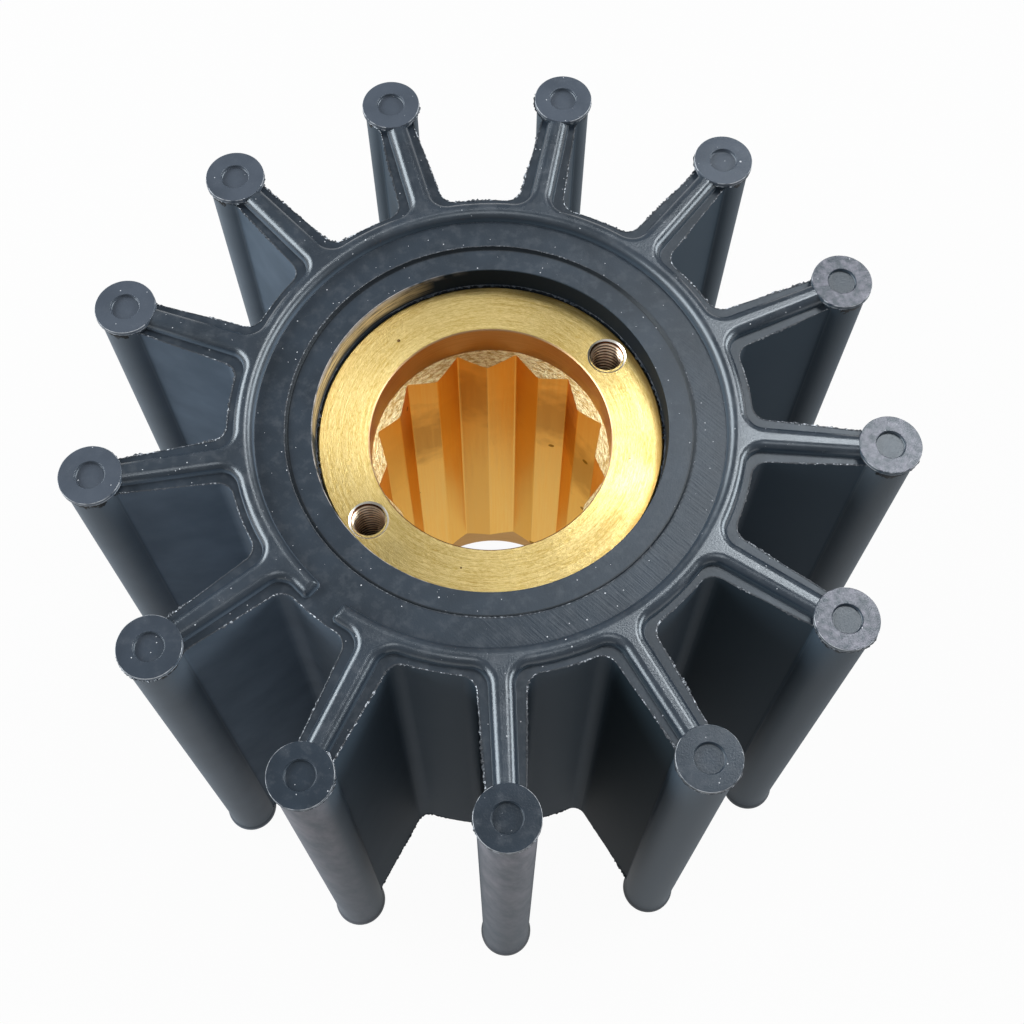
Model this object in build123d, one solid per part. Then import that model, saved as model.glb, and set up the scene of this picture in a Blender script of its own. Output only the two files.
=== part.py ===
from build123d import *
import os
from math import cos, radians, tan

# Flexible-vane pump impeller: a rubber body moulded round a brass drive bush.
# Millimetres. The axis is Z, the lower disc faces stand on z = 0, and one vane points along -Y.

# ---- overall sizes ----
vane_count = 13
body_height = 107.5          # lower disc face to upper disc face
tip_circle_radius = 62.5     # axis to the centre of a tip bulb

# ---- vanes ----
web_root_thickness = 7.5     # where a vane leaves the hub sleeve
web_tip_thickness = 5.9      # where it runs into the tip bulb
web_root_fillet = 2.6
web_tip_fillet = 1.3
bulb_radius = 4.5

# ---- end faces of the rubber ----
land_depth = 2.0             # end lands below the disc faces
bead_height = 1.9
bead_root_width = 4.0        # foot of the bead along a vane, at the ring
bead_tip_width = 3.6         # and at the tip disc
bead_junction_fillet = 2.8
bead_crown_chamfer = 0.9     # along the top of every bead
bead_end_cover = 1.2         # rubber between a disc's recess and the end of its bead
bead_gap_width = 4.8         # break in the ring bead
bead_gap_pitch = -1.5        # its place, in vane pitches from the vane along -Y
disc_radius = 4.95
disc_recess_radius = 2.3
disc_recess_depth = 0.6
disc_rim_height = 0.9        # upright wall of a disc, below which it narrows to the bulb

# ---- hub sleeve, from the bore outwards ----
bore_flare = 0.45            # the rubber bore opens this much from the bush to the end face
inner_land_width = 3.85
step_depth = 0.55            # inner land below the outer land
step_run = 0.4
outer_land_width = 4.8
ring_bead_width = 3.2
hub_ledge_width = 1.1

# ---- brass bush ----
bush_radius = 27.8
bush_top_recess = 7.4        # upper bush face below the upper disc faces
bush_bottom_recess = 4.7     # lower bush face above the lower disc faces
bush_edge_chamfer = 0.25
across_flats = 33.4          # both hexagons of the twelve-point bore
counterbore_margin = 0.25    # counterbore wall outside the points of the bore
counterbore_depth = 7.1
lead_in_angle = 44.0         # cone half-angle, from the axis

# ---- jacking holes, M6 ----
jack_hole_count = 2
jack_hole_angle = 35.0
tap_drill_radius = 2.5
jack_rim_radius = 3.2        # mouth of the countersink
jack_rim_depth = 0.6
jack_edge_margin = 0.3       # between the countersink and the bush's edge chamfer
jack_hole_depth = 22.0
drill_point_angle = 59.0     # half-angle of the drill point

# ---- places that follow ----
vane_pitch = 360 / vane_count
vane_angles = [-90 + i * vane_pitch for i in range(vane_count)]

bush_top = body_height - bush_top_recess
bush_bottom = bush_bottom_recess
land_top = body_height - land_depth
land_bottom = land_depth

bore_mouth_radius = bush_radius + bore_flare
step_inner_radius = bore_mouth_radius + inner_land_width
step_outer_radius = step_inner_radius + step_run
ring_inner_radius = step_outer_radius + outer_land_width
ring_outer_radius = ring_inner_radius + ring_bead_width
hub_radius = ring_outer_radius + hub_ledge_width

point_radius = across_flats / 2 / cos(radians(30))
crest_radius = across_flats / 2 / cos(radians(15))
counterbore_radius = point_radius + counterbore_margin
lead_in_depth = (counterbore_radius - crest_radius) / tan(radians(lead_in_angle))
jack_circle_radius = bush_radius - bush_edge_chamfer - jack_edge_margin - jack_rim_radius

overrun = 1.0                # how far a cutter passes a face that it cuts through


def radial_bar(root_radius, root_width, tip_radius, tip_width):
    """A tapering bar along +X, drawn as a flat face."""
    points = [
        (root_radius, -root_width / 2),
        (tip_radius, -tip_width / 2),
        (tip_radius, tip_width / 2),
        (root_radius, root_width / 2),
    ]
    return make_face(Polyline(points, close=True))


def around_axis(shape):
    """One copy of a shape drawn along +X for each vane."""
    return [Rot(0, 0, angle) * shape for angle in vane_angles]


def corners_near(sketch, radius):
    """The corners of a sketch that lie on one circle about the axis."""
    return [v for v in sketch.vertices() if abs((v.X**2 + v.Y**2) ** 0.5 - radius) < 0.05]


def meeting_radius(circle_centre, circle_radius, half_width):
    """Where a bar's side meets a circle centred on the bar's line, as a radius from the axis."""
    along = circle_centre - (circle_radius**2 - half_width**2) ** 0.5
    return (along**2 + half_width**2) ** 0.5


def core_profile():
    """Section of the body between its end lands: sleeve, tapering vanes and tip bulbs."""
    web_end_radius = tip_circle_radius - bulb_radius
    web = radial_bar(ring_inner_radius, web_root_thickness, web_end_radius, web_tip_thickness)
    web += radial_bar(web_end_radius, web_tip_thickness, tip_circle_radius, web_tip_thickness)
    vane = web + Pos(tip_circle_radius, 0) * Circle(bulb_radius)
    neck_radius = meeting_radius(tip_circle_radius, bulb_radius, web_tip_thickness / 2)
    vane = fillet(corners_near(vane, neck_radius), web_tip_fillet)
    profile = Circle(hub_radius) + around_axis(vane)
    return fillet(corners_near(profile, hub_radius), web_root_fillet)


def sleeve_void():
    """Everything inside the rubber sleeve: stepped lands, flared mouths and the bush's seat."""
    upper = [
        (bush_radius, bush_top),
        (bore_mouth_radius, land_top - step_depth),
        (step_inner_radius, land_top - step_depth),
        (step_outer_radius, land_top),
        (step_outer_radius, land_top + overrun),
        (0, land_top + overrun),
    ]
    lower = [
        (0, land_bottom - overrun),
        (step_outer_radius, land_bottom - overrun),
        (step_outer_radius, land_bottom),
        (step_inner_radius, land_bottom + step_depth),
        (bore_mouth_radius, land_bottom + step_depth),
        (bush_radius, bush_bottom),
    ]
    return revolve(Plane.XZ * make_face(Polyline(lower + upper, close=True)), Axis.Z)


def bead_profile():
    """Plan of the raised bead: a broken ring with a spoke out along every vane."""
    spoke_end_radius = tip_circle_radius - disc_recess_radius - bead_end_cover
    spoke = radial_bar(ring_inner_radius + ring_bead_width / 2, bead_root_width,
                       spoke_end_radius, bead_tip_width)
    ring = Circle(ring_outer_radius) - Circle(ring_inner_radius)
    profile = ring + around_axis(spoke)
    profile = fillet(corners_near(profile, ring_outer_radius), bead_junction_fillet)
    gap = Pos(ring_outer_radius, 0) * Rectangle(3 * ring_bead_width, bead_gap_width)
    return profile - Rot(0, 0, -90 + bead_gap_pitch * vane_pitch) * gap


def end_beads():
    """The beads that stand on the upper end land."""
    beads = extrude(Pos(0, 0, land_top) * bead_profile(), bead_height)
    crown_edges = beads.faces().sort_by(Axis.Z)[-1].edges()
    return chamfer(crown_edges, bead_crown_chamfer)


def tip_discs():
    """Discs on the upper end land, one over each bulb. Below their rim they narrow to the bulb."""
    points = [
        (0, 0),
        (bulb_radius, 0),
        (disc_radius, land_depth - disc_rim_height),
        (disc_radius, land_depth),
        (disc_recess_radius, land_depth),
        (disc_recess_radius, land_depth - disc_recess_depth),
        (0, land_depth - disc_recess_depth),
    ]
    disc = revolve(Plane.XZ * make_face(Polyline(points, close=True)), Axis.Z)
    return around_axis(Pos(tip_circle_radius, 0, land_top) * disc)


def rubber_impeller_body():
    body = extrude(Pos(0, 0, land_bottom) * core_profile(), land_top - land_bottom)
    body -= sleeve_void()
    middle = Plane.XY.offset(body_height / 2)
    for feature in (end_beads(), *tip_discs()):
        body += feature
        body += mirror(feature, middle)
    return body


def twelve_point_bore():
    """Two hexagonal prisms, 30 degrees apart, right through the bush."""
    hexagon = RegularPolygon(point_radius, 6, rotation=15)
    profile = hexagon + Rot(0, 0, 30) * hexagon
    return extrude(Pos(0, 0, bush_bottom - overrun) * profile, bush_top - bush_bottom + 2 * overrun)


def bore_mouths():
    """Counterbore and conical lead-in at both ends of the bush."""
    def mouth(face, inward):
        shelf = face + inward * counterbore_depth
        points = [
            (0, face - inward * overrun),
            (counterbore_radius, face - inward * overrun),
            (counterbore_radius, shelf),
            (crest_radius, shelf + inward * lead_in_depth),
            (0, shelf + inward * lead_in_depth),
        ]
        return revolve(Plane.XZ * make_face(Polyline(points, close=True)), Axis.Z)
    return mouth(bush_top, -1) + mouth(bush_bottom, 1)


def jack_hole():
    """A tapped hole with a countersunk mouth and a drill point, drawn as its core."""
    sink_slope = (jack_rim_radius - tap_drill_radius) / jack_rim_depth
    points = [
        (0, overrun),
        (jack_rim_radius + sink_slope * overrun, overrun),
        (tap_drill_radius, -jack_rim_depth),
        (tap_drill_radius, -jack_hole_depth),
        (0, -jack_hole_depth - tap_drill_radius / tan(radians(drill_point_angle))),
    ]
    return revolve(Plane.XZ * make_face(Polyline(points, close=True)), Axis.Z)


def brass_hub_insert():
    bush = Pos(0, 0, bush_bottom) * Cylinder(
        bush_radius, bush_top - bush_bottom, align=(Align.CENTER, Align.CENTER, Align.MIN))
    bush = chamfer(bush.edges().filter_by(GeomType.CIRCLE), bush_edge_chamfer)
    bush -= twelve_point_bore()
    bush -= bore_mouths()
    for i in range(jack_hole_count):
        turn = Rot(0, 0, jack_hole_angle + i * 360 / jack_hole_count)
        bush -= turn * Pos(jack_circle_radius, 0, bush_top) * jack_hole()
    return bush


os.makedirs("parts", exist_ok=True)
export_step(rubber_impeller_body(), "parts/rubber_impeller_body.step")
export_step(brass_hub_insert(), "parts/brass_hub_insert.step")
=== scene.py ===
"""Flexible-vane rubber pump impeller with its brass drive bush, on a plain pale floor."""

import random
from math import atan2, cos, dist, pi, radians, sin, sqrt, tan

import bmesh
import bpy
from mathutils import Matrix, Vector


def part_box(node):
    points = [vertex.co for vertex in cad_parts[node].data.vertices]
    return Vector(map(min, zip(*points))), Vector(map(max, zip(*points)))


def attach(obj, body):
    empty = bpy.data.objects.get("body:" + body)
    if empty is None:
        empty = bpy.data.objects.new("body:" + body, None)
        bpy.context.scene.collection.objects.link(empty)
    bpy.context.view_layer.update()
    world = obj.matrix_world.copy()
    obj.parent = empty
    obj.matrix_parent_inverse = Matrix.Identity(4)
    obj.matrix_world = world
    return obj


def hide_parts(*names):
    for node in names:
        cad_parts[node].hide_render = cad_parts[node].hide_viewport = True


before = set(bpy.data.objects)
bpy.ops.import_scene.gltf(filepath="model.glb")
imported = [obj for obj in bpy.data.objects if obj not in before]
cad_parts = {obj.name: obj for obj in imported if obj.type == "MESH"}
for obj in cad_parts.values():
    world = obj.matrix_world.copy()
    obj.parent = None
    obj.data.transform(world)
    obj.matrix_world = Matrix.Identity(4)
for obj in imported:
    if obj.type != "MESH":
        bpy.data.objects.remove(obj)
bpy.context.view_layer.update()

# ---------------------------------------------------------------- sizes, millimetres
MM = 0.001
rubber_low, rubber_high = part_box("rubber_impeller_body")
bush_low, bush_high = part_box("brass_hub_insert")

VANES = 13
PITCH = 2 * pi / VANES
VANE_ANGLES = [-pi / 2 + i * PITCH for i in range(VANES)]

HEIGHT = rubber_high.z / MM
DISC_RADIUS = 4.95
TIP_CIRCLE = -rubber_low.y / MM - DISC_RADIUS
BULB_RADIUS = 4.5
WEB_ROOT, WEB_TIP = 7.5, 5.9
WEB_ROOT_FILLET, WEB_TIP_FILLET = 2.6, 1.3

BUSH_RADIUS = bush_high.x / MM
BUSH_TOP = bush_high.z / MM
BUSH_BOTTOM = bush_low.z / MM
ACROSS_FLATS = 33.4
COUNTERBORE_MARGIN = 0.25
COUNTERBORE_DEPTH = 7.1
LEAD_IN_ANGLE = radians(44)

LAND_DEPTH = 2.0
LAND_TOP = HEIGHT - LAND_DEPTH
STEP_DEPTH = 0.55
BORE_MOUTH = BUSH_RADIUS + 0.45
STEP_INNER = BORE_MOUTH + 3.85
STEP_OUTER = STEP_INNER + 0.4
RING_INNER = STEP_OUTER + 4.8
RING_OUTER = RING_INNER + 3.2
HUB_RADIUS = RING_OUTER + 1.1

BEAD_HEIGHT = 1.9
BEAD_ROOT, BEAD_TIP = 4.0, 3.6
BEAD_FILLET = 2.8
BEAD_CROWN, BEAD_RISE = 1.55, 1.6      # width and height of the rounding of its crown
BEAD_FOOT = 0.12                       # radius of the fillet at its foot
BEAD_SUNK = 0.4                        # how far it reaches into the land
BEAD_END_COVER = 1.2                   # rubber between its end and the recess of a disc
BEAD_GAP, GAP_CORNER = 4.8, 0.8
BEAD_GAP_ANGLE = -pi / 2 - 1.5 * PITCH
DISC_EDGE = 0.12
DISC_RIM = 0.9
RECESS_RADIUS, RECESS_DEPTH = 2.3, 0.6
LIP = 0.12                             # rounding at the mouths of the recesses and of the bore
CREVICE = 0.28                         # gap round each end of the bush

JACK_CIRCLE, JACK_ANGLE = 24.05, radians(35)
JACK_RIM, JACK_THROAT, JACK_SINK = 3.2, 2.85, 0.3
THREAD_MINOR, THREAD_MAJOR, THREAD_PITCH = 2.5, 3.05, 1.0
THREAD_DEPTH = 22.0

POINT_RADIUS = ACROSS_FLATS / 2 / cos(pi / 6)
CREST_RADIUS = ACROSS_FLATS / 2 / cos(pi / 12)
COUNTERBORE = POINT_RADIUS + COUNTERBORE_MARGIN
LEAD_IN_DEPTH = (COUNTERBORE - CREST_RADIUS) / tan(LEAD_IN_ANGLE)

KNOT_SPACING = 14                      # points between the draws that give a fin its slow swell
FIN_LEAST, FIN_ROOT = 0.03, 0.1        # how far a fin stands out at least, and reaches inwards
BOX_MARGIN = 0.02                      # fins stay this far inside the plan of the CAD body
RUBBER_SHARP, BRASS_SHARP = radians(32), radians(28)

# the materials of each piece, in the order of its slots
LAND, FLASH, WEB, SLEEVE, BEAD, BULB = range(6)
TURNED, BORED, ROUGH, BROACHED, THREADED = range(5)


def polar(radius, angle):
    """The point at a distance from the axis and an angle round it."""
    return radius * cos(angle), radius * sin(angle)


TIP_PLACES = [polar(TIP_CIRCLE, angle) for angle in VANE_ANGLES]
JACK_PLACES = [polar(JACK_CIRCLE, JACK_ANGLE + k * pi) for k in range(2)]


# ---------------------------------------------------------------- plane geometry
def arc(cx, cy, radius, start, end, steps):
    """Points along an arc, both ends included."""
    angles = [start + (end - start) * i / steps for i in range(steps + 1)]
    return [(cx + radius * cos(a), cy + radius * sin(a)) for a in angles]


def turned(points, angle):
    """The points turned about the axis."""
    c, s = cos(angle), sin(angle)
    return [(x * c - y * s, x * s + y * c) for x, y in points]


def side_line(root_radius, root_width, tip_radius, tip_width):
    """The +y side of a tapering bar along +x: its slope angle, and its distance from the axis."""
    slope = atan2((root_width - tip_width) / 2, tip_radius - root_radius)
    return slope, root_radius * sin(slope) + root_width / 2 * cos(slope)


def root_corner(hub_radius, line, fillet, inset=0.0, steps=8):
    """Concave fillet from the hub circle out to a vane's +y side. Inset draws it that far inside."""
    slope, distance = line
    radius = fillet + inset
    out = distance + fillet
    along = sqrt((hub_radius + fillet) ** 2 - out**2)
    cx = out * sin(slope) + along * cos(slope)
    cy = out * cos(slope) - along * sin(slope)
    hub_angle = atan2(cy, cx)
    return hub_angle, arc(cx, cy, radius, hub_angle - pi, -pi / 2 - slope, steps)


def vane_side():
    """The +y side of a vane along +x, from the hub to its bulb, and the angle of each end."""
    line = side_line(HUB_RADIUS, WEB_ROOT, TIP_CIRCLE - BULB_RADIUS, WEB_TIP)
    hub_angle, root = root_corner(HUB_RADIUS, line, WEB_ROOT_FILLET)
    slope, distance = line
    out = distance + WEB_TIP_FILLET
    reach = BULB_RADIUS + WEB_TIP_FILLET
    along = TIP_CIRCLE * cos(slope) - sqrt(reach**2 - (out - TIP_CIRCLE * sin(slope)) ** 2)
    cx = out * sin(slope) + along * cos(slope)
    cy = out * cos(slope) - along * sin(slope)
    toward_bulb = atan2(-cy, TIP_CIRCLE - cx)
    neck = arc(cx, cy, WEB_TIP_FILLET, -pi / 2 - slope, toward_bulb, 6)
    return root + neck[:-1], hub_angle, toward_bulb + pi


def core_outline():
    """Plan of the body between its end lands: hub sleeve, tapering webs and tip bulbs."""
    side, hub_angle, bulb_angle = vane_side()
    bulb = arc(TIP_CIRCLE, 0, BULB_RADIUS, -bulb_angle, bulb_angle, 48)
    vane = [(x, -y) for x, y in side] + bulb + side[::-1]
    outline = []
    for angle in VANE_ANGLES:
        outline += turned(vane, angle)
        outline += turned(arc(0, 0, HUB_RADIUS, hub_angle, PITCH - hub_angle, 10)[1:-1], angle)
    return outline


def pocket_edge():
    """Edge of the land round one pocket, from a vane along +x to the next vane."""
    side, hub_angle, _ = vane_side()
    hub = arc(0, 0, HUB_RADIUS, hub_angle, PITCH - hub_angle, 10)[1:-1]
    return side[::-1] + hub + turned([(x, -y) for x, y in side], PITCH)


def bead_outline(inset):
    """Plan of the raised bead, drawn inset from its edge: a broken ring with a spoke to each disc."""
    spoke_end = TIP_CIRCLE - RECESS_RADIUS - BEAD_END_COVER
    line = side_line(RING_OUTER, BEAD_ROOT, spoke_end, BEAD_TIP)
    hub_angle, root = root_corner(RING_OUTER, line, BEAD_FILLET, inset)
    slope, distance = line
    end_half = (distance - inset - spoke_end * sin(slope)) / cos(slope)
    side = root + [(spoke_end, end_half)]
    spoke = [(x, -y) for x, y in side] + side[::-1]
    outer_radius = RING_OUTER - inset
    inner_radius = RING_INNER + inset
    back = max(GAP_CORNER, inset + 0.01)
    corner = back - inset
    half_gap = BEAD_GAP / 2 + back
    outer_turn = atan2(half_gap, sqrt((RING_OUTER - back) ** 2 - half_gap**2))
    inner_turn = atan2(half_gap, sqrt((RING_INNER + back) ** 2 - half_gap**2))
    ox, oy = (RING_OUTER - back) * cos(outer_turn), half_gap
    ix, iy = (RING_INNER + back) * cos(inner_turn), half_gap
    start_side = arc(ix, iy, corner, inner_turn + pi, 1.5 * pi, 5)
    start_side += arc(ox, oy, corner, 1.5 * pi, 2 * pi + outer_turn, 5)
    outline = turned(start_side, BEAD_GAP_ANGLE)
    first = VANE_ANGLES[0] - PITCH
    outline += arc(0, 0, outer_radius, BEAD_GAP_ANGLE + outer_turn, first - hub_angle, 6)[1:-1]
    for i in range(VANES):
        angle = first + i * PITCH
        outline += turned(spoke, angle)
        if i < VANES - 1:
            between = arc(0, 0, outer_radius, angle + hub_angle, angle + PITCH - hub_angle, 10)
            outline += between[1:-1]
    last = first + (VANES - 1) * PITCH
    outline += arc(0, 0, outer_radius, last + hub_angle, BEAD_GAP_ANGLE + 2 * pi - outer_turn, 6)[1:-1]
    outline += turned([(x, -y) for x, y in reversed(start_side)], BEAD_GAP_ANGLE)
    around = arc(0, 0, inner_radius, BEAD_GAP_ANGLE + 2 * pi - inner_turn,
                 BEAD_GAP_ANGLE + inner_turn, 260)
    return outline + around[1:-1]


# ---------------------------------------------------------------- mesh helpers
def new_object(name, data):
    """An object of the scene that holds a mesh, lamp or camera."""
    thing = bpy.data.objects.new(name, data)
    bpy.context.scene.collection.objects.link(thing)
    return thing


def mesh_object(name, vertices, faces):
    """A mesh object from millimetre points."""
    mesh = bpy.data.meshes.new(name)
    mesh.from_pydata([(x * MM, y * MM, z * MM) for x, y, z in vertices], [], faces)
    return new_object(name, mesh)


def stack(name, levels):
    """Closed solid through a stack of outlines that have as many points each, lowest first."""
    count = len(levels[0][0])
    vertices = [(x, y, z) for outline, z in levels for x, y in outline]
    faces = [list(range(count))[::-1]]
    for k in range(len(levels) - 1):
        low, high = k * count, (k + 1) * count
        for i in range(count):
            j = (i + 1) % count
            faces.append([low + i, low + j, high + j, high + i])
    faces.append([(len(levels) - 1) * count + i for i in range(count)])
    return mesh_object(name, vertices, faces)


def lathe(name, profile, steps, centre=(0, 0)):
    """Closed solid turned about a vertical line. The profile runs upwards, its ends on the axis or
    joined to each other."""
    on_axis = [abs(r) < 1e-9 for r, z in profile]
    solid = bmesh.new()
    rings = []
    for (r, z), single in zip(profile, on_axis):
        ring = []
        for i in range(1 if single else steps):
            a = 2 * pi * i / steps
            point = (centre[0] + r * cos(a), centre[1] + r * sin(a), z)
            ring.append(solid.verts.new([c * MM for c in point]))
        rings.append(ring)
    pairs = list(zip(rings[:-1], rings[1:]))
    if not on_axis[0]:
        pairs.append((rings[-1], rings[0]))
    for low, high in pairs:
        for i in range(steps):
            j = (i + 1) % steps
            corners = [low[i % len(low)], low[j % len(low)],
                       high[j % len(high)], high[i % len(high)]]
            corners = list(dict.fromkeys(corners))
            if len(corners) > 2:
                solid.faces.new(corners)
    bmesh.ops.recalc_face_normals(solid, faces=solid.faces)
    mesh = bpy.data.meshes.new(name)
    solid.to_mesh(mesh)
    solid.free()
    return new_object(name, mesh)


def combine(target, tools, operation):
    """Boolean of a target and tools, baked into the target's mesh. The tools are used up."""
    for tool in tools:
        step = target.modifiers.new("combine", "BOOLEAN")
        step.operation = operation
        step.solver = "EXACT"
        step.object = tool
    bpy.context.view_layer.update()
    shape = target.evaluated_get(bpy.context.evaluated_depsgraph_get())
    mesh = bpy.data.meshes.new_from_object(shape)
    target.modifiers.clear()
    target.data = mesh
    for tool in tools:
        bpy.data.objects.remove(tool)


def smooth(piece, sharp_angle):
    """Smooth shading between edges sharper than an angle."""
    mesh = piece.data
    mesh.polygons.foreach_set("use_smooth", [True] * len(mesh.polygons))
    mesh.set_sharp_from_angle(angle=sharp_angle)
    weights = piece.modifiers.new("weights", "WEIGHTED_NORMAL")
    weights.keep_sharp = True


def upside_down(piece, name):
    """A copy mirrored in the body's middle plane."""
    mesh = piece.data.copy()
    mesh.transform(Matrix.Translation((0, 0, HEIGHT * MM)) @ Matrix.Scale(-1, 4, (0, 0, 1)))
    mesh.flip_normals()
    return new_object(name, mesh)


# ---------------------------------------------------------------- rubber body
def bead():
    """The raised bead of the upper end, with a small fillet at its foot and a round crown."""
    levels = [(bead_outline(-BEAD_FOOT), LAND_TOP - BEAD_SUNK)]
    for step in range(4):
        a = pi / 2 * step / 3
        levels.append((bead_outline(-BEAD_FOOT * (1 - sin(a))), LAND_TOP + BEAD_FOOT * (1 - cos(a))))
    for step in range(9):
        a = pi / 2 * step / 8
        # 0.999 keeps the top from closing to a line
        levels.append((bead_outline(BEAD_CROWN * (1 - cos(a)) * 0.999),
                       LAND_TOP + BEAD_HEIGHT - BEAD_RISE * (1 - sin(a))))
    return stack("bead", levels)


def fine_steps(path, step):
    """The path with points at even steps along it."""
    points = [path[0]]
    left = step
    for a, b in zip(path[:-1], path[1:]):
        length = dist(a, b)
        while left < length:
            t = left / length
            points.append((a[0] + (b[0] - a[0]) * t, a[1] + (b[1] - a[1]) * t))
            left += step
        left -= length
    return points


def fin(path, z, reach, thickness, seed, swell=2.0, step=0.28):
    """Ragged fin of mould flash along a path, standing out on its right."""
    draw = random.Random(seed)
    points = fine_steps(path, step)
    count = len(points)
    knots = [draw.random() for _ in range(count // KNOT_SPACING + 2)]
    vertices = []
    for i, (x, y) in enumerate(points):
        ahead = points[min(i + 1, count - 1)]
        behind = points[max(i - 1, 0)]
        length = dist(ahead, behind)
        nx, ny = (ahead[1] - behind[1]) / length, (behind[0] - ahead[0]) / length
        knot, part = i // KNOT_SPACING, i % KNOT_SPACING / KNOT_SPACING
        slow = knots[knot] * (1 - part) + knots[knot + 1] * part
        out = FIN_LEAST + reach * min(1, slow**swell * (0.15 + 1.5 * draw.random() ** 2))
        lift = (draw.random() - 0.2) * out * 0.8
        outer = [x + nx * out, y + ny * out]
        for axis in range(2):
            least = rubber_low[axis] / MM + BOX_MARGIN
            most = rubber_high[axis] / MM - BOX_MARGIN
            outer[axis] = min(max(outer[axis], least), most)
        root = (x - nx * FIN_ROOT, y - ny * FIN_ROOT)
        vertices += [(*root, z + thickness * 0.4), (*outer, z + lift), (*root, z - thickness * 0.6)]
    faces = [[2, 1, 0], [3 * count - 3, 3 * count - 2, 3 * count - 1]]
    for i in range(count - 1):
        for a in range(3):
            b = (a + 1) % 3
            faces.append([3 * i + a, 3 * i + b, 3 * i + 3 + b, 3 * i + 3 + a])
    return vertices, faces


def circle_path(cx, cy, radius):
    """A path nearly all the way round, anticlockwise, so that its right is outside."""
    return arc(cx, cy, radius, 0, 2 * pi * 0.999, 90)


def mould_flash():
    """Fins along the pocket edges and the step of both ends, and along the disc rims and round the
    bush at the upper end."""
    both = [fin(turned(pocket_edge(), angle), LAND_TOP, 0.3, 0.14, 100 + i, 1.6)
            for i, angle in enumerate(VANE_ANGLES)]
    both.append(fin(circle_path(0, 0, STEP_OUTER + 0.02)[::-1], LAND_TOP, 0.14, 0.1, 400, 2.5))
    top = []
    under = HEIGHT - DISC_RIM
    for i, place in enumerate(TIP_PLACES):
        top.append(fin(circle_path(*place, DISC_RADIUS - 0.04), under, 0.3, 0.1, 200 + i, 2.5))
        top.append(fin(circle_path(*place, BULB_RADIUS), under - 0.4, 0.4, 0.12, 300 + i, 1.2))
    torn = circle_path(0, 0, BUSH_RADIUS + 0.3)[::-1]
    top.append(fin(torn, BUSH_TOP + 0.3, 0.6, 0.3, 500, 1.6, 0.3))
    below = [([(x, y, HEIGHT - z) for x, y, z in points], [face[::-1] for face in faces])
             for points, faces in both]
    vertices, faces = [], []
    for part_vertices, part_faces in both + top + below:
        base = len(vertices)
        vertices += part_vertices
        faces += [[base + i for i in face] for face in part_faces]
    return mesh_object("flash", vertices, faces)


def disc_profile(undercut):
    """Half section of a tip disc: its neck on the bulb, the rounded rim and the recess. The rim is
    undercut, or else the neck widens smoothly to it."""
    wall = DISC_RADIUS - 0.03
    neck = BULB_RADIUS + 0.004
    under = HEIGHT - DISC_RIM
    profile = [(0, LAND_TOP - 0.5), (3.0, LAND_TOP - 0.5),
               (3.0, LAND_TOP - 0.02), (neck, LAND_TOP - 0.02)]
    if undercut:
        profile += [(neck, under - 0.45), (neck - 0.25, under - 0.3), (neck - 0.25, under - 0.05),
                    (wall - 0.08, under), (wall, under + 0.08)]
    else:
        rise = under + 0.2 - LAND_TOP
        profile += [(neck + (wall - neck) * (1 - cos(pi * k / 8)) / 2, LAND_TOP + rise * k / 8)
                    for k in range(1, 9)]
    profile += [(wall - DISC_EDGE + x, HEIGHT - DISC_EDGE + y)
                for x, y in arc(0, 0, DISC_EDGE, 0, pi / 2, 4)]
    profile += [(RECESS_RADIUS + LIP - x, HEIGHT - LIP + y)
                for x, y in arc(0, 0, LIP, pi / 2, 0, 3)]
    floor = HEIGHT - RECESS_DEPTH
    profile += [(RECESS_RADIUS - 0.02, floor + 0.12), (RECESS_RADIUS - 0.14, floor), (0, floor)]
    return profile


def sleeve_void():
    """Half section of the space in the sleeve, with a crevice round each end of the bush."""
    upper = [(BUSH_RADIUS, BUSH_TOP - 0.7), (BUSH_RADIUS + CREVICE, BUSH_TOP - 0.25),
             (BUSH_RADIUS + CREVICE, BUSH_TOP + 0.35)]
    mouth = LAND_TOP - STEP_DEPTH
    upper += [(BORE_MOUTH + LIP * (1 - sin(a)), mouth - LIP * (1 - cos(a)))
              for a in (pi / 2, pi / 3, pi / 6, 0)]
    upper += [(STEP_INNER, mouth), (STEP_OUTER, LAND_TOP)]
    lower = [(r, HEIGHT - z) for r, z in reversed(upper)]
    shift = BUSH_BOTTOM - (HEIGHT - BUSH_TOP)
    lower = [(r, z + shift if r < BORE_MOUTH - 0.1 else z) for r, z in lower]
    return ([(0, LAND_DEPTH - 4), (STEP_OUTER, LAND_DEPTH - 4)] + lower + upper
            + [(STEP_OUTER, LAND_TOP + 4), (0, LAND_TOP + 4)])


def add_flash(body, flash):
    """Join the flash to the body, with a material of its own."""
    joined = bmesh.new()
    joined.from_mesh(body.data)
    for face in joined.faces:
        face.material_index = LAND
    start = len(joined.faces)
    joined.from_mesh(flash.data)
    joined.faces.ensure_lookup_table()
    for face in joined.faces[start:]:
        face.material_index = FLASH
    joined.to_mesh(body.data)
    joined.free()
    bpy.data.objects.remove(flash)


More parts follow.
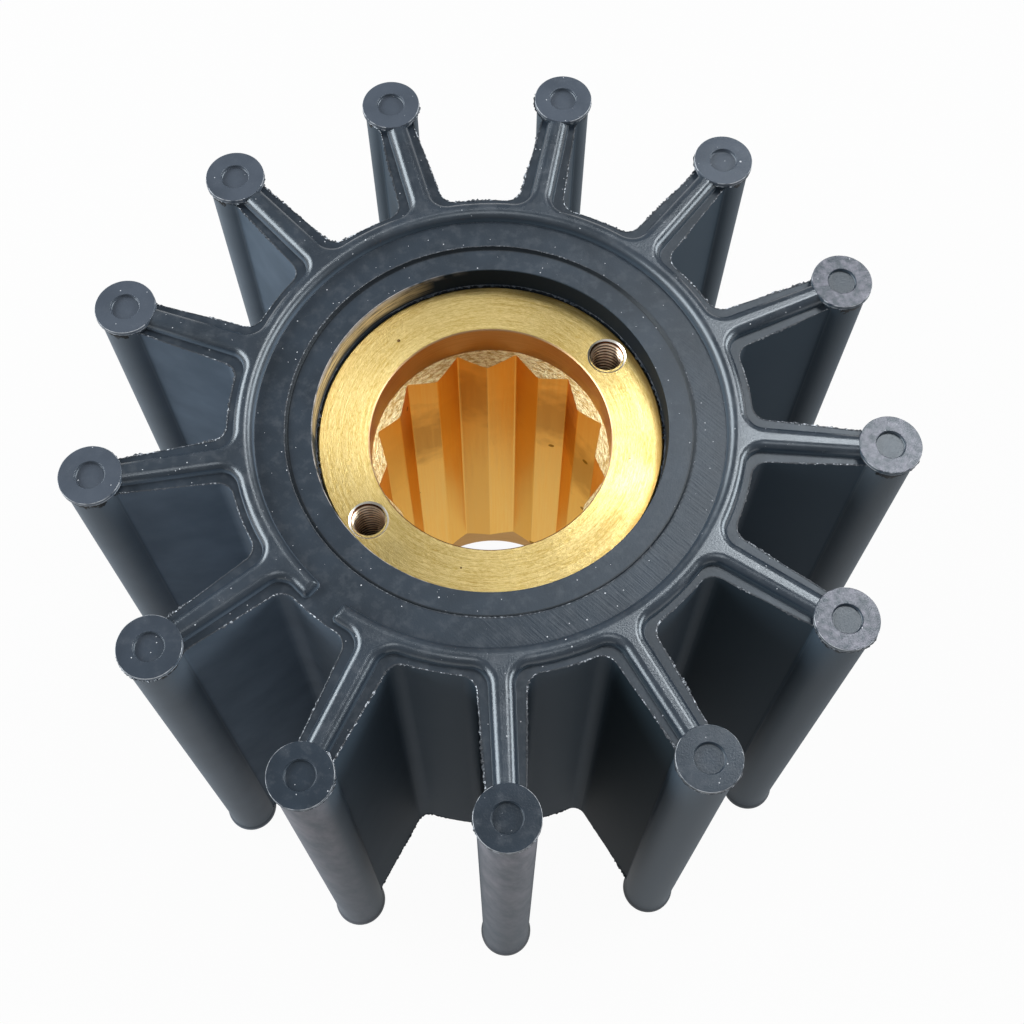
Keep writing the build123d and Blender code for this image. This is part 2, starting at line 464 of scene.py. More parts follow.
def rubber_body():
    """The moulding: core, beads and discs of both ends, less the space in the sleeve, plus flash."""
    outline = core_outline()
    levels = [LAND_DEPTH + (LAND_TOP - LAND_DEPTH) * k / 8 for k in range(9)]
    body = stack("rubber_body", [(outline, z) for z in levels])
    ends = [bead()]
    ends.append(upside_down(ends[0], "lower_bead"))
    for centre in TIP_PLACES:
        ends.append(lathe("disc", disc_profile(True), 64, centre))
        plain = lathe("plain_disc", disc_profile(False), 64, centre)
        ends.append(upside_down(plain, "lower_disc"))
        bpy.data.objects.remove(plain)
    combine(body, ends, "UNION")
    combine(body, [lathe("void", sleeve_void(), 256)], "DIFFERENCE")
    add_flash(body, mould_flash())
    smooth(body, RUBBER_SHARP)
    for face in body.data.polygons:
        face.use_smooth = face.material_index != FLASH
        if face.use_smooth:
            face.material_index = rubber_zone(face)
    return body


def rubber_zone(face):
    """Which of the rubber's materials a face of it has."""
    x, y, z = (c / MM for c in face.center)
    tip = min(dist((x, y), place) for place in TIP_PLACES)
    if abs(face.normal.z) < 0.3 and LAND_DEPTH < z < LAND_TOP:
        if tip < BULB_RADIUS + 0.05:
            return BULB
        return SLEEVE if RING_INNER < sqrt(x * x + y * y) < HUB_RADIUS + 1.5 else WEB
    proud = max(z - LAND_TOP, LAND_DEPTH - z)
    return BEAD if proud > 0.3 and tip > DISC_RADIUS + 0.05 else LAND


# ---------------------------------------------------------------- brass bush
def drive_outline():
    """Twelve-point bore: two hexagons 30 degrees apart, with small roundings at every corner."""
    outline = []
    for i in range(12):
        crest = i * pi / 6
        outline += [polar(CREST_RADIUS, crest), polar(POINT_RADIUS, crest + pi / 12)]
    rounded = []
    cut = 0.28
    count = len(outline)
    for i in range(count):
        p = Vector(outline[i])
        before = (Vector(outline[i - 1]) - p).normalized() * cut
        after = (Vector(outline[(i + 1) % count]) - p).normalized() * cut
        for k in range(5):
            t = k / 4
            rounded.append(tuple(p + before * (1 - t) ** 2 + after * t**2))
    return rounded


def thread_cutter(cx, cy):
    """Core of a tapped hole: a helical groove round the tap-drill radius."""
    around, per_turn, flank = 48, 10, 0.44
    top, bottom = BUSH_TOP - JACK_SINK * 0.5, BUSH_TOP - THREAD_DEPTH
    rows = int((top - bottom) / THREAD_PITCH * per_turn)
    levels = []
    for k in range(rows + 1):
        z = bottom + (top - bottom) * k / rows
        ring = []
        for i in range(around):
            turn = i / around
            phase = (z / THREAD_PITCH - turn) % 1.0
            depth = min(abs(phase - 0.5) / flank, 1.0)
            r = THREAD_MAJOR + (THREAD_MINOR - THREAD_MAJOR) * depth
            ring.append((cx + r * cos(2 * pi * turn), cy + r * sin(2 * pi * turn)))
        levels.append((ring, z))
    return stack("thread", levels)


def countersink(centre):
    """Cone that opens the mouth of a tapped hole."""
    slope = (JACK_RIM - JACK_THROAT) / JACK_SINK
    profile = [(0, BUSH_TOP - JACK_SINK), (JACK_THROAT, BUSH_TOP - JACK_SINK),
               (JACK_RIM, BUSH_TOP), (JACK_RIM + slope, BUSH_TOP + 1), (0, BUSH_TOP + 1)]
    return lathe("countersink", profile, 64, centre)


def brass_bush():
    """The turned bush, with its drive bore and jacking holes cut."""
    edge, lip = 0.25, 0.2
    inner = CREST_RADIUS - 1.2
    cone = LEAD_IN_DEPTH
    overcut = (CREST_RADIUS - inner) / tan(LEAD_IN_ANGLE)
    profile = [
        (inner, BUSH_BOTTOM + COUNTERBORE_DEPTH + cone + overcut),
        (COUNTERBORE, BUSH_BOTTOM + COUNTERBORE_DEPTH),
        (COUNTERBORE, BUSH_BOTTOM + lip),
        (COUNTERBORE + lip, BUSH_BOTTOM),
        (BUSH_RADIUS - edge, BUSH_BOTTOM),
        (BUSH_RADIUS, BUSH_BOTTOM + edge),
        (BUSH_RADIUS, BUSH_TOP - edge),
        (BUSH_RADIUS - edge, BUSH_TOP),
        (COUNTERBORE + lip, BUSH_TOP),
        (COUNTERBORE, BUSH_TOP - lip),
        (COUNTERBORE, BUSH_TOP - COUNTERBORE_DEPTH),
        (inner, BUSH_TOP - COUNTERBORE_DEPTH - cone - overcut),
    ]
    bush = lathe("brass_bush", profile, 288)
    outline = drive_outline()
    tools = [stack("drive", [(outline, BUSH_BOTTOM - 1), (outline, BUSH_TOP + 1)])]
    for centre in JACK_PLACES:
        tools += [countersink(centre), thread_cutter(*centre)]
    combine(bush, tools, "DIFFERENCE")
    smooth(bush, BRASS_SHARP)
    return bush


# ---------------------------------------------------------------- materials
class Graph:
    """A material's nodes, with millimetre coordinates and short ways to combine them."""

    def __init__(self, name, **fixed):
        self.material = bpy.data.materials.new(name)
        self.material.use_nodes = True
        self.tree = self.material.node_tree
        self.shader = self.tree.nodes["Principled BSDF"]
        for socket, value in fixed.items():
            self.shader.inputs[socket.replace("_", " ")].default_value = value
        place = self.tree.nodes.new("ShaderNodeTexCoord").outputs["Object"]
        self.place = self.vector("SCALE", place, scale=1 / MM)
        self.x, self.y, self.z = self.parts(self.place)
        self.radius = self.vector("LENGTH", self.join(self.x, self.y, 0))
        self.turn = self.calc("ARCTAN2", self.y, self.x)

    def put(self, socket, value):
        """Links a value that is a node's output, and sets any other."""
        if isinstance(value, bpy.types.NodeSocket):
            self.tree.links.new(value, socket)
        else:
            socket.default_value = value

    def calc(self, operation, *values):
        """A Math node's result."""
        node = self.tree.nodes.new("ShaderNodeMath")
        node.operation = operation
        for socket, value in zip(node.inputs, values):
            self.put(socket, value)
        return node.outputs[0]

    def vector(self, operation, *values, scale=None):
        """A Vector Math node's result: a number for LENGTH, or else a vector."""
        node = self.tree.nodes.new("ShaderNodeVectorMath")
        node.operation = operation
        for socket, value in zip(node.inputs, values):
            self.put(socket, value)
        if scale is not None:
            self.put(node.inputs["Scale"], scale)
        return node.outputs["Value" if operation == "LENGTH" else "Vector"]

    def parts(self, vector):
        node = self.tree.nodes.new("ShaderNodeSeparateXYZ")
        self.put(node.inputs[0], vector)
        return node.outputs

    def join(self, x, y, z):
        node = self.tree.nodes.new("ShaderNodeCombineXYZ")
        for socket, value in zip(node.inputs, (x, y, z)):
            self.put(socket, value)
        return node.outputs[0]

    def noise(self, scale, detail=2.0, place=None, roughness=0.5):
        """Noise from 0 to 1. The scale is in cells a millimetre, unless a place is given."""
        node = self.tree.nodes.new("ShaderNodeTexNoise")
        self.put(node.inputs["Vector"], place or self.place)
        node.inputs["Scale"].default_value = scale
        node.inputs["Detail"].default_value = detail
        node.inputs["Roughness"].default_value = roughness
        return node.outputs["Fac"]

    def spots(self, cell, radius, share):
        """1 inside scattered spots, 0 outside: one spot in a share of the cells."""
        node = self.tree.nodes.new("ShaderNodeTexVoronoi")
        self.put(node.inputs["Vector"], self.place)
        node.inputs["Scale"].default_value = 1 / cell
        lot, size, _ = self.parts(node.outputs["Color"])
        limit = self.product(radius / cell, self.calc("MULTIPLY_ADD", size, 0.9, 0.45))
        return self.product(self.below(node.outputs["Distance"], limit), self.below(lot, share))

    def ramp(self, value, low, high, bottom=0.0, top=1.0):
        """Straight ramp that stays between bottom and top."""
        node = self.tree.nodes.new("ShaderNodeMapRange")
        for socket, number in zip(node.inputs, (value, low, high, bottom, top)):
            self.put(socket, number)
        return node.outputs[0]

    def band(self, value, low, high, soft):
        """1 between two limits, falling to 0 over a soft distance outside them."""
        return self.product(self.ramp(value, low - soft, low),
                            self.ramp(value, high, high + soft, 1, 0))

    def above(self, value, limit):
        """1 where a value is over a limit, 0 elsewhere."""
        return self.calc("GREATER_THAN", value, limit)

    def below(self, value, limit):
        """1 where a value is under a limit, 0 elsewhere."""
        return self.calc("LESS_THAN", value, limit)

    def stretched(self, *scales):
        """The place in millimetres with each axis scaled on its own."""
        return self.vector("MULTIPLY", self.place, scales)

    def product(self, first, *others):
        """All the values multiplied."""
        for value in others:
            first = self.calc("MULTIPLY", first, value)
        return first

    def blend(self, amount, first, second):
        """The first colour where the amount is 0, the second where it is 1."""
        node = self.tree.nodes.new("ShaderNodeMix")
        node.data_type = "RGBA"
        self.put(node.inputs["Factor"], amount)
        for socket, value in zip((node.inputs[6], node.inputs[7]), (first, second)):
            self.put(socket, (*value, 1) if isinstance(value, tuple) else value)
        return node.outputs[2]

    def facing_up(self, low, high):
        """0 where the upward part of the normal is under low, 1 where it is over high."""
        normal = self.tree.nodes.new("ShaderNodeNewGeometry").outputs["Normal"]
        return self.ramp(self.parts(normal)[2], low, high)

    def bump(self, height, depth, under=None):
        """Relief of a depth in millimetres, on top of any relief under it."""
        node = self.tree.nodes.new("ShaderNodeBump")
        node.inputs["Distance"].default_value = depth * MM
        self.put(node.inputs["Height"], height)
        if under is not None:
            self.put(node.inputs["Normal"], under)
        return node.outputs[0]

    def finish(self, colour, roughness=None, normal=None):
        """Plugs the results into the shader and gives the material."""
        self.put(self.shader.inputs["Base Color"], colour)
        if roughness is not None:
            self.put(self.shader.inputs["Roughness"], roughness)
        if normal is not None:
            self.put(self.shader.inputs["Normal"], normal)
        return self.material


# ---------------------------------------------------------------- rubber materials
RUBBER = (0.016, 0.0225, 0.0315)
RUBBER_PALER = tuple(c * 1.35 for c in RUBBER)
RUBBER_TINT = (0.86, 0.94, 1.0, 1)
# Painted sheen: the patch colour for upward faces.
PATCHY_PAINTED_SHEEN = (0.06, 0.068, 0.08)
# The second and third wall colours are painted light for the walls at the left and painted shade for
# the webs in front.
WALL, WALL_PAINTED_LIGHT, WALL_PAINTED_SHADE = (0.042, 0.062, 0.083), (0.115, 0.15, 0.195), (0.006, 0.011, 0.014)
# The first of these bulb colours is painted light; the second is wear from rubbing.
BULB_PAINTED_LIGHT, BULB_RUBBED = (0.07, 0.085, 0.1), (0.19, 0.185, 0.21)
# The second disc colour is painted sheen.
DISC_SCUFFED, DISC_PAINTED_SHEEN = (0.16, 0.15, 0.185), (0.065, 0.078, 0.1)
RIM_WORN, LIP_WORN = (0.5, 0.52, 0.55), (0.4, 0.36, 0.33)
# All three are painted shade: under the disc rims, in the recess above the bush and on the step.
RIM_SHADOW, RECESS_PAINTED_SHADE, STEP_PAINTED_SHADE = (0.001, 0.001, 0.001), (0.003, 0.004, 0.006), (0.002, 0.003, 0.004)
# The last is a painted highlight for the flash.
SMEAR, DUST, FLASH_PAINTED_GLINT = (0.6, 0.45, 0.23), (0.6, 0.62, 0.66), (0.62, 0.67, 0.74)


class RubberGraph(Graph):
    """The rubber's nodes, with coordinates that follow the vanes, the tips and the end faces."""

    def __init__(self, name, gloss):
        super().__init__(name, Specular_IOR_Level=gloss, Specular_Tint=RUBBER_TINT)
        angle = self.calc("ADD", self.turn, pi / 2)
        # the vane's number, 0 at the front and counted anticlockwise, and the place on it
        self.vane = self.calc("ROUND", self.calc("DIVIDE", angle, PITCH))
        local = self.calc("SUBTRACT", angle, self.product(self.vane, PITCH))
        out = self.product(self.radius, self.calc("COSINE", local))
        self.along = self.calc("SUBTRACT", out, TIP_CIRCLE)
        across = self.product(self.radius, self.calc("SINE", local))
        self.tip = self.vector("LENGTH", self.join(self.along, across, 0))
        self.fall = self.calc("SUBTRACT", HEIGHT, self.z)
        self.up = self.facing_up(0.5, 0.8)
        self.wall = self.ramp(self.facing_up(0.1, 0.5), 0, 1, 1, 0)
        self.left = self.ramp(self.calc("ABSOLUTE", self.turn), radians(105), radians(150))
        self.slow = self.noise(0.12, 3)
        self.patches = self.noise(0.5, 4, roughness=0.65)
        in_disc = self.below(self.tip, DISC_RADIUS)
        self.disc_face = self.product(self.above(self.z, HEIGHT - 0.05), in_disc)
        self.disc_or_recess = self.product(self.above(self.z, HEIGHT - RECESS_DEPTH - 0.05), in_disc)


def rubber_tones(g):
    """Base colour: slow changes of tone, painted sheen in patches on upward faces, painted light on the
    walls at the left and on the bulbs at the left and one at the right, and painted shade on the webs
    in front.
    """
    colour = g.blend(g.ramp(g.slow, 0.35, 0.65), RUBBER, RUBBER_PALER)
    # Painted sheen: lighter patches on upward faces.
    colour = g.blend(g.product(g.ramp(g.patches, 0.5, 0.75), g.up, 0.5), colour, PATCHY_PAINTED_SHEEN)
    colour = g.blend(g.product(g.wall, 0.8), colour, WALL)
    # Painted light: the walls on the left side are made lighter.
    colour = g.blend(g.product(g.wall, g.left, g.ramp(g.slow, 0.3, 0.7, 0.6, 1)), colour, WALL_PAINTED_LIGHT)
    bulb_reach = BULB_RADIUS + 0.2
    # Painted shade: the web walls in front are made nearly black.
    web = g.product(g.wall, g.above(g.tip, bulb_reach), g.ramp(g.radius, HUB_RADIUS, HUB_RADIUS + 3))
    shaded_front_webs = g.band(g.turn, radians(-100), radians(-45), radians(18))
    colour = g.blend(g.product(web, shaded_front_webs, 0.8), colour, WALL_PAINTED_SHADE)
    # Painted light: the bulb sides at the left and those of one bulb at the right are made lighter.
    lit_bulb_sides = g.calc("MAXIMUM", g.left, g.band(g.vane, 2.6, 3.4, 0.3))
    return g.blend(g.product(g.wall, g.below(g.tip, bulb_reach), lit_bulb_sides, 0.6), colour, BULB_PAINTED_LIGHT)


def scuffed_tips(g, colour):
    """Scuffed discs on the right, painted sheen on the discs elsewhere but in front, and rubbed bulbs
    in front.
    """
    right = g.band(g.vane, 2, 4, 0.6)
    scuffs = g.product(g.disc_face, right, g.ramp(g.noise(0.9, 5, roughness=0.7), 0.4, 0.65))
    colour = g.blend(g.product(scuffs, 0.75), colour, DISC_SCUFFED)
    # Painted sheen: the disc faces away from the front are made lighter, more so towards the back.
    disc_sheen = g.product(g.disc_or_recess, g.ramp(g.y, -52, -12), g.ramp(g.slow, 0.3, 0.7, 0.6, 1),
                      g.ramp(right, 0, 1, 1, 0))
    colour = g.blend(g.product(disc_sheen, 0.9), colour, DISC_PAINTED_SHEEN)
    outer_side = g.product(g.above(g.tip, BULB_RADIUS - 0.3), g.below(g.z, HEIGHT - 1.2),
                           g.ramp(g.along, 0.5, 2.5))
    slanting = g.join(g.product(g.x, 0.35), g.product(g.y, 0.35),
                      g.calc("MULTIPLY_ADD", g.z, 0.14, g.product(g.x, 0.2)))
    streaks = g.ramp(g.noise(1.0, 4, slanting, 0.65), 0.34, 0.66, 0.3, 1)
    rubbed = g.product(outer_side, g.ramp(g.z, 20, 100, 0.35, 1.0), streaks)
    return g.blend(g.product(rubbed, g.band(g.vane, -1, 0.3, 0.3), 0.9), colour, BULB_RUBBED)


def disc_rims(g, colour):
    """Worn upper and lower edges of the disc walls, and the ragged shadow under them."""
    edges = g.calc("MAXIMUM", g.ramp(g.fall, 0.1, 0.2, 1, 0.15),
                   g.band(g.fall, DISC_RIM - 0.2, DISC_RIM + 0.1, 0.05))
    rim = g.product(g.band(g.tip, DISC_RADIUS - 0.09, DISC_RADIUS + 0.02, 0.03), edges,
                    g.below(g.fall, DISC_RIM + 0.15), g.above(g.along, -DISC_RADIUS * 0.9),
                    g.ramp(g.noise(0.7, 3), 0.36, 0.55))
    colour = g.blend(g.product(rim, 0.75), colour, RIM_WORN)
    ragged = g.ramp(g.noise(1.3, 3, roughness=0.7), 0.35, 0.65, 1.1, 2.3)
    under = g.product(g.above(g.fall, DISC_RIM),
                      g.below(g.calc("SUBTRACT", g.fall, DISC_RIM), ragged),
                      g.band(g.tip, BULB_RADIUS - 0.5, BULB_RADIUS + 0.06, 0.02), g.above(g.along, -2))
    return g.blend(under, colour, RIM_SHADOW)


def bore_mouth(g, colour):
    """Painted shade in the recess above the bush, with a gold-brown smear, its lip paled by wear, and
    painted shade on the step.
    """
    edge = LAND_TOP - STEP_DEPTH
    recess = g.product(g.band(g.radius, BUSH_RADIUS + 0.1, BORE_MOUTH + 0.02, 0.03),
                       g.ramp(g.z, edge - 0.3, edge - 0.1, 1, 0))
    # Painted shade: the recess wall above the bush is made nearly black.
    colour = g.blend(g.product(recess, 0.85), colour, RECESS_PAINTED_SHADE)
    place = g.join(g.product(g.calc("SINE", g.turn), 3), g.product(g.calc("COSINE", g.turn), 3),
                   g.product(g.z, 2.6))
    streaks = g.noise(1.0, 4, place, 0.75)
    smear = g.product(recess, g.band(g.turn, radians(125), radians(172), radians(18)),
                      g.ramp(g.z, BUSH_TOP + 0.6, BUSH_TOP + 2.2), g.ramp(streaks, 0.36, 0.56))
    colour = g.blend(smear, colour, SMEAR)
    lip = g.product(g.band(g.radius, BORE_MOUTH - 0.02, BORE_MOUTH + LIP, 0.03),
                    g.ramp(g.noise(0.4, 2), 0.35, 0.6), g.above(g.z, BUSH_TOP + 1),
                    g.ramp(g.calc("ABSOLUTE", g.turn), radians(95), radians(125)))
    colour = g.blend(g.product(lip, 0.8), colour, LIP_WORN)
    # Painted shade: a dark band along the step.
    step = g.band(g.radius, STEP_INNER - 0.15, STEP_OUTER + 0.02, 0.08)
    return g.blend(g.product(step, 0.8), colour, STEP_PAINTED_SHADE)


def tool_marks(g):
    """Slanting marks on the right and front of the outer land."""
    land = g.product(g.band(g.radius, STEP_OUTER, RING_INNER - 0.2, 0.3), g.up,
                     g.band(g.turn, radians(-85), radians(15), radians(25)))
    slant = g.join(g.product(g.calc("ADD", g.x, g.y), 2.2),
                   g.product(g.calc("SUBTRACT", g.x, g.y), 0.12), 0)
    return g.product(land, g.noise(1.0, 2, slant))


def moulded_rubber(name, gloss):
    """Dark blue-grey rubber with a fine grain, dust, disc rims paled by wear, scuffed tips, and painted
    light and shade in places. The zones differ in gloss only."""
    g = RubberGraph(name, gloss)
    colour = bore_mouth(g, disc_rims(g, scuffed_tips(g, rubber_tones(g))))
    dust = g.product(g.calc("MAXIMUM", g.spots(1.15, 0.09, 0.5), g.spots(3.1, 0.13, 0.3)), g.up)
    colour = g.blend(g.product(dust, 0.75), colour, DUST)

    crown = g.product(g.above(g.z, LAND_TOP + 0.5), g.ramp(g.radius, RING_INNER, RING_INNER + 3))
    relief = g.bump(g.product(g.noise(3.5, 3), g.ramp(g.up, 0, 1, 0.15, 1)), 0.012)
    relief = g.bump(g.product(crown, g.noise(4.0, 3, roughness=0.7)), 0.02, relief)
    relief = g.bump(tool_marks(g), 0.03, relief)
    relief = g.bump(dust, 0.05, relief)

    rough = g.ramp(g.patches, 0.3, 0.7, 0.3, 0.38)
    smoother = g.calc("MAXIMUM", g.product(g.disc_face, 0.05), g.product(crown, 0.1))
    rough = g.calc("SUBTRACT", rough, smoother)
    for place, least in ((dust, 0.9), (g.wall, 0.6)):
        rough = g.calc("MAXIMUM", rough, g.product(place, least))
    return g.finish(colour, rough, relief)


def rubber_flash():
    """Torn fins of flash: the rubber's own colour, with painted highlight in pale patches here and
    there, less so near the bore.
    """
    g = Graph("rubber_flash", Roughness=0.5)
    # Painted highlight: pale patches where the thin fins catch light.
    pale = g.product(g.ramp(g.noise(2.2, 4, roughness=0.8), 0.52, 0.6),
                     g.ramp(g.noise(0.11, 2), 0.4, 0.6),
                     g.ramp(g.radius, BUSH_RADIUS + 1, STEP_OUTER, 0.05, 0.3),
                     g.ramp(g.radius, STEP_OUTER + 0.4, STEP_OUTER + 0.8, 1, 3.3))
    return g.finish(g.blend(pale, RUBBER, FLASH_PAINTED_GLINT))


# ---------------------------------------------------------------- brass materials
TURNED_TONES, TURNED_MARKS = ((0.56, 0.4, 0.12), (0.48, 0.33, 0.09)), (0.74, 0.59, 0.26)
TARNISH, PIT = (0.48, 0.29, 0.08), (0.12, 0.07, 0.03)
BORED_TONES = (0.48, 0.31, 0.16), (0.57, 0.38, 0.21)
ROUGH_TONES = (0.62, 0.4, 0.13), (1.0, 0.9, 0.55)
# The last flute colour is painted shade.
FLUTE_TONES, FLUTE_PAINTED_SHADE = ((0.96, 0.57, 0.17), (1.0, 0.69, 0.25)), (0.68, 0.38, 0.12)
# The first of these is a painted dark reflection.
FLUTE_PAINTED_REFLECTION, FLUTE_SPOT = (0.48, 0.26, 0.1), (0.16, 0.07, 0.02)
# All three are painted: glare on the crests, shade in the grooves and a highlight at the mouth.
CREST_GLARE, GROOVE_SHADE, HOLE_MOUTH_GLINT = (1.0, 0.8, 0.6), (0.1, 0.035, 0.015), (1.0, 0.95, 0.85)


def ring_place(g, across, around):
    """Coordinates that follow circles round the axis, with no seam."""
    return g.join(g.product(g.radius, across), g.product(g.calc("SINE", g.turn), around),
                  g.product(g.calc("COSINE", g.turn), around))


def turned_brass():
    """Pale turned faces: concentric tool marks, tarnish and pits."""
    g = Graph("turned_brass", Metallic=1.0, Anisotropic=0.65, Anisotropic_Rotation=0.25,
              Specular_Tint=(1, 0.9, 0.6, 1))
    round_axis = g.tree.nodes.new("ShaderNodeTangent")
    round_axis.direction_type = "RADIAL"
    round_axis.axis = "Z"
    g.put(g.shader.inputs["Tangent"], round_axis.outputs[0])
    fine = g.noise(1.0, 3, ring_place(g, 7, 24), 0.75)
    coarse = g.noise(1.0, 3, ring_place(g, 2.6, 2), 0.7)
    marks = g.calc("ADD", g.product(fine, 0.6), g.product(coarse, 0.4))
    tone = g.noise(0.16, 3)
    colour = g.blend(g.ramp(tone, 0.35, 0.65), *TURNED_TONES)
    colour = g.blend(g.ramp(marks, 0.4, 0.6), colour, TURNED_MARKS)
    patchy = g.calc("MAXIMUM", g.band(g.turn, radians(-35), radians(30), radians(20)),
                    g.ramp(g.noise(0.35, 3), 0.45, 0.65, 0, 0.5))
    edge = g.product(g.ramp(g.radius, BUSH_RADIUS - 1.5, BUSH_RADIUS - 0.6), patchy)
    colour = g.blend(g.product(edge, 0.8), colour, TARNISH)
    colour = g.blend(g.spots(3.1, 0.24, 0.35), colour, PIT)
    relief = g.bump(marks, 0.045)
    relief = g.bump(g.noise(1.3, 4, roughness=0.7), 0.02, relief)
    return g.finish(colour, g.ramp(tone, 0.3, 0.7, 0.28, 0.42), relief)


def bored_brass():
    """Counterbore walls: darker and browner, with fine rings."""
    g = Graph("bored_brass", Metallic=1.0, Roughness=0.4, Specular_Tint=(0.9, 0.6, 0.3, 1))
    rings = g.noise(1.0, 3, g.stretched(0.15, 0.15, 4))
    return g.finish(g.blend(g.ramp(rings, 0.3, 0.7), *BORED_TONES), None, g.bump(rings, 0.01))


def rough_brass():
    """Lead-in cones: coarse, glittering cut."""
    g = Graph("rough_brass", Metallic=1.0)
    grain = g.noise(1.0, 4, ring_place(g, 4, 14), 0.75)
    colour = g.blend(g.ramp(grain, 0.4, 0.58), *ROUGH_TONES)
    return g.finish(colour, g.ramp(grain, 0.3, 0.7, 0.5, 0.28), g.bump(grain, 0.35))


def one_of(g, value, *numbers):
    """1 where a whole number is one of those named."""
    found = g.band(value, numbers[-1], numbers[-1], 0.5)
    for number in numbers[-2::-1]:
        found = g.calc("MAXIMUM", g.band(value, number, number, 0.5), found)
    return found


def broached_brass():
    """Flutes of the drive bore: orange-gold with grain along the axis, painted shade on two flanks, a
    painted dark reflection across some flanks, and dark spots.
    """
    g = Graph("broached_brass", Metallic=1.0, Specular_Tint=(0.92, 0.66, 0.34, 1))
    grain = g.noise(1.0, 4, g.stretched(2.2, 2.2, 0.06), 0.6)
    colour = g.blend(g.ramp(grain, 0.3, 0.7), *FLUTE_TONES)
    # the flank's number, 0 from +x on and counted anticlockwise
    flank = g.calc("FLOOR", g.calc("DIVIDE", g.turn, pi / 12))
    darker_flanks = g.calc("MAXIMUM", g.band(flank, 1, 3, 0.5), one_of(g, flank, 6, 8))
    # Painted shade: two flanks are made duller and darker.
    colour = g.blend(g.product(one_of(g, flank, 4, 6), 0.55), colour, FLUTE_PAINTED_SHADE)
    tone = g.noise(1.0, 0, g.join(g.product(flank, 3.37), 0.5, 0.5))
    shift = g.calc("ADD", g.ramp(tone, 0.3, 0.7, -5, 5), g.ramp(g.noise(0.3, 2), 0.3, 0.7, -3, 3))
    # Painted reflection: a dark band at mid-depth, strongest on some flanks.
    dark_reflection = g.product(g.band(g.calc("ADD", g.z, shift), 70, 78, 9), g.ramp(darker_flanks, 0, 1, 0.2, 1))
    colour = g.blend(g.product(dark_reflection, 0.7), colour, FLUTE_PAINTED_REFLECTION)
    colour = g.blend(g.product(g.spots(8.0, 0.5, 0.5), 0.8), colour, FLUTE_SPOT)
    return g.finish(colour, g.ramp(grain, 0.3, 0.7, 0.3, 0.42), g.bump(grain, 0.012))


def threaded_brass():
    """Tapped holes, coppery, with painted glare on the thread crests, painted shade in the grooves and
    a painted highlight round the mouth.
    """
    g = Graph("threaded_brass", Metallic=1.0, Roughness=0.35)
    cx, cy = JACK_PLACES[0]
    side = g.calc("MULTIPLY_ADD", g.above(g.x, 0), 2, -1)
    dx = g.calc("SUBTRACT", g.x, g.product(side, cx))
    dy = g.calc("SUBTRACT", g.y, g.product(side, cy))
    out = g.vector("LENGTH", g.join(dx, dy, 0))
    colour = g.blend(g.ramp(out, 2.63, 2.73), CREST_GLARE, GROOVE_SHADE)
    # Painted highlight: a near-white ring at the mouth of each hole.
    return g.finish(g.blend(g.above(g.z, BUSH_TOP - JACK_SINK * 0.9), colour, HOLE_MOUTH_GLINT))


def brass_zone(face):
    """Which of the bush's materials a face of it has."""
    x, y, _ = (c / MM for c in face.center)
    radius = sqrt(x * x + y * y)
    jack = min(dist((x, y), place) for place in JACK_PLACES)
    if jack < JACK_RIM - 0.02 and abs(face.normal.z) < 0.999:
        return THREADED
    if abs(face.normal.z) > 0.9 or radius > BUSH_RADIUS - 0.5:
        return TURNED
    if radius > COUNTERBORE - 0.05:
        return BORED
    return ROUGH if abs(face.normal.z) > 0.3 else BROACHED


# ---------------------------------------------------------------- the two pieces
rubber = rubber_body()
for material in (moulded_rubber("moulded_rubber", 0.4), rubber_flash(),
                 moulded_rubber("rubber_webs", 0.04), moulded_rubber("rubber_sleeve", 0.08),
                 moulded_rubber("rubber_beads", 0.85), moulded_rubber("rubber_bulbs", 0.3)):
    rubber.data.materials.append(material)
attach(rubber, "root")
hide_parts("rubber_impeller_body")

bush = brass_bush()
for material in (turned_brass(), bored_brass(), rough_brass(), broached_brass(), threaded_brass()):
    bush.data.materials.append(material)
for face in bush.data.polygons:
    face.material_index = brass_zone(face)
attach(bush, "root")
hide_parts("brass_hub_insert")


# ---------------------------------------------------------------- stage, light and camera
COOL_WHITE = (0.94, 0.98, 1.0)


def pale_floor():
    """Pale floor that shows nearly white where it is seen, and still takes a soft shadow."""
    g = Graph("pale_floor", Base_Color=(0.35, 0.35, 0.35, 1), Roughness=0.9)
    glow = g.tree.nodes.new("ShaderNodeEmission")
    glow.inputs["Color"].default_value = (1, 1, 1, 1)
    path = g.tree.nodes.new("ShaderNodeLightPath")
    share = 0
    for ray, amount in (("Camera", 0.96), ("Glossy", 0.74), ("Transmission", 0.96)):
        share = g.calc("MULTIPLY_ADD", path.outputs[f"Is {ray} Ray"], amount, share)
    mix = g.tree.nodes.new("ShaderNodeMixShader")
    for socket, value in zip(mix.inputs, (share, g.shader.outputs[0], glow.outputs[0])):
        g.put(socket, value)
    g.put(g.tree.nodes["Material Output"].inputs["Surface"], mix.outputs[0])
    return g.material


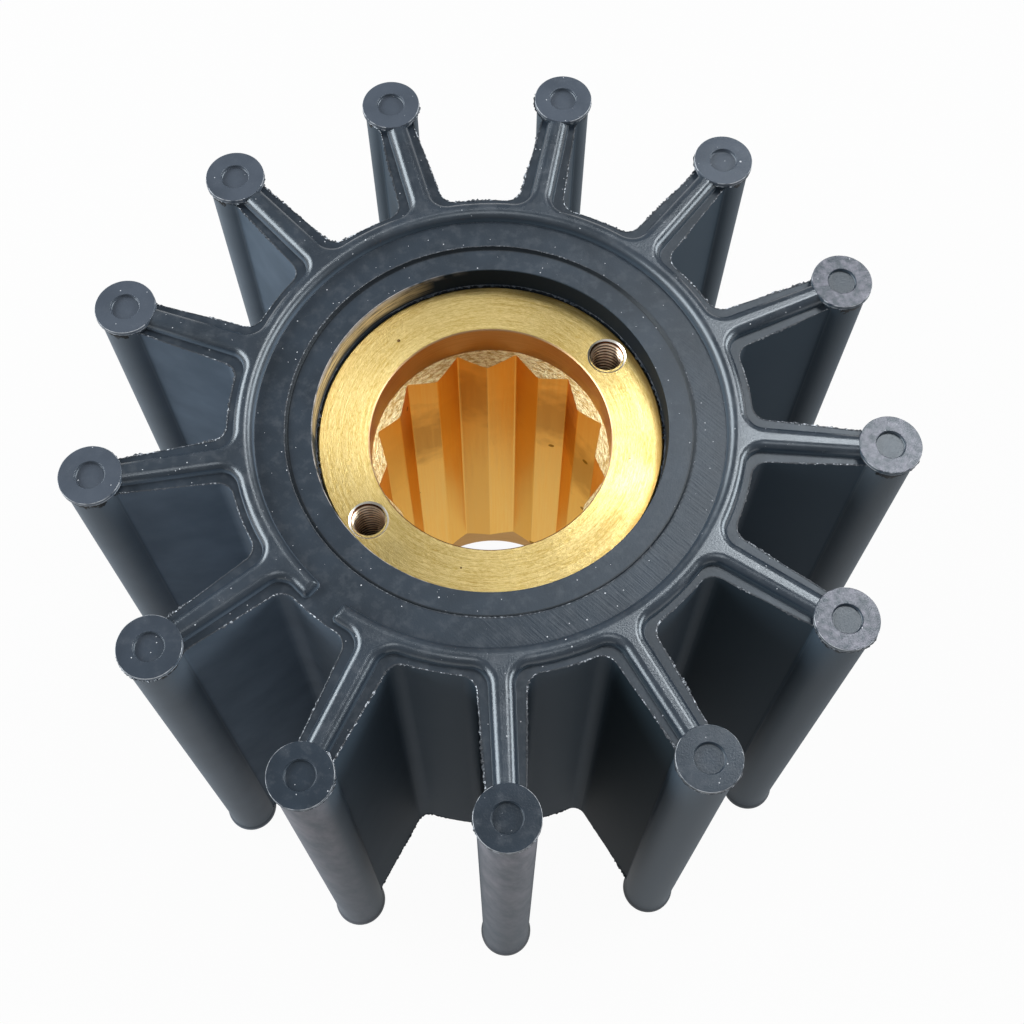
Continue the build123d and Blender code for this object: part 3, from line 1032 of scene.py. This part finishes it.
def stage_floor():
    """A floor just below the lower discs, wide enough to have no edge in any view."""
    far, z = 20000, -0.05
    corners = [(-far, -far, z), (far, -far, z), (far, far, z), (-far, far, z)]
    floor = mesh_object("floor", corners, [[0, 1, 2, 3]])
    floor.data.materials.append(pale_floor())


def world_light(strength):
    """Even white light from all round."""
    world = bpy.data.worlds.new("studio")
    world.use_nodes = True
    background = world.node_tree.nodes["Background"]
    background.inputs["Color"].default_value = (1, 1, 1, 1)
    background.inputs["Strength"].default_value = strength
    bpy.context.scene.world = world


def photo_camera():
    """Camera above the front of the object, looking down at it."""
    elevation, heading, roll = radians(64.28), radians(-2.73), radians(-0.32)
    forward = Vector((0, cos(elevation), -sin(elevation)))
    right = Vector((1, 0, 0))
    down = forward.cross(right)
    right, down = cos(roll) * right + sin(roll) * down, cos(roll) * down - sin(roll) * right
    basis = Matrix((right, -down, -forward)).transposed()
    turn = Matrix.Rotation(heading, 3, "Z")
    data = bpy.data.cameras.new("camera")
    data.sensor_width = 36
    data.lens = 55.6
    data.shift_x, data.shift_y = 0.0059, -0.0847
    data.clip_start, data.clip_end = 0.01, 100
    camera = new_object("camera", data)
    camera.matrix_world = Matrix.Translation((-0.00275, -0.1089, 0.3302)) @ (turn @ basis).to_4x4()
    bpy.context.scene.camera = camera


def softbox(name, heading, elevation, size, power, colour=(1, 1, 1)):
    """Lamp 1.2 m from the top of the object and aimed at it, from a heading and a height in degrees."""
    a, e = radians(heading), radians(elevation)
    target = Vector((0, 0, 0.1))
    place = Vector((cos(a) * cos(e), sin(a) * cos(e), sin(e))) * 1.2 + target
    data = bpy.data.lights.new(name, "AREA")
    data.shape = "RECTANGLE"
    data.size, data.size_y = size
    data.energy = power
    data.color = colour
    lamp = new_object(name, data)
    lamp.location = place
    lamp.rotation_euler = (target - place).to_track_quat("-Z", "Y").to_euler()


stage_floor()
world_light(0.3)
softbox("left", 168, 24, (1.5, 0.7), 27, COOL_WHITE)
softbox("right", 10, 23, (0.95, 0.5), 12.4, COOL_WHITE)
softbox("back_right", 46, 61, (0.42, 0.42), 6)
softbox("front", -92, 63, (0.5, 0.4), 2)
photo_camera()
bpy.context.scene.view_settings.view_transform = "Standard"
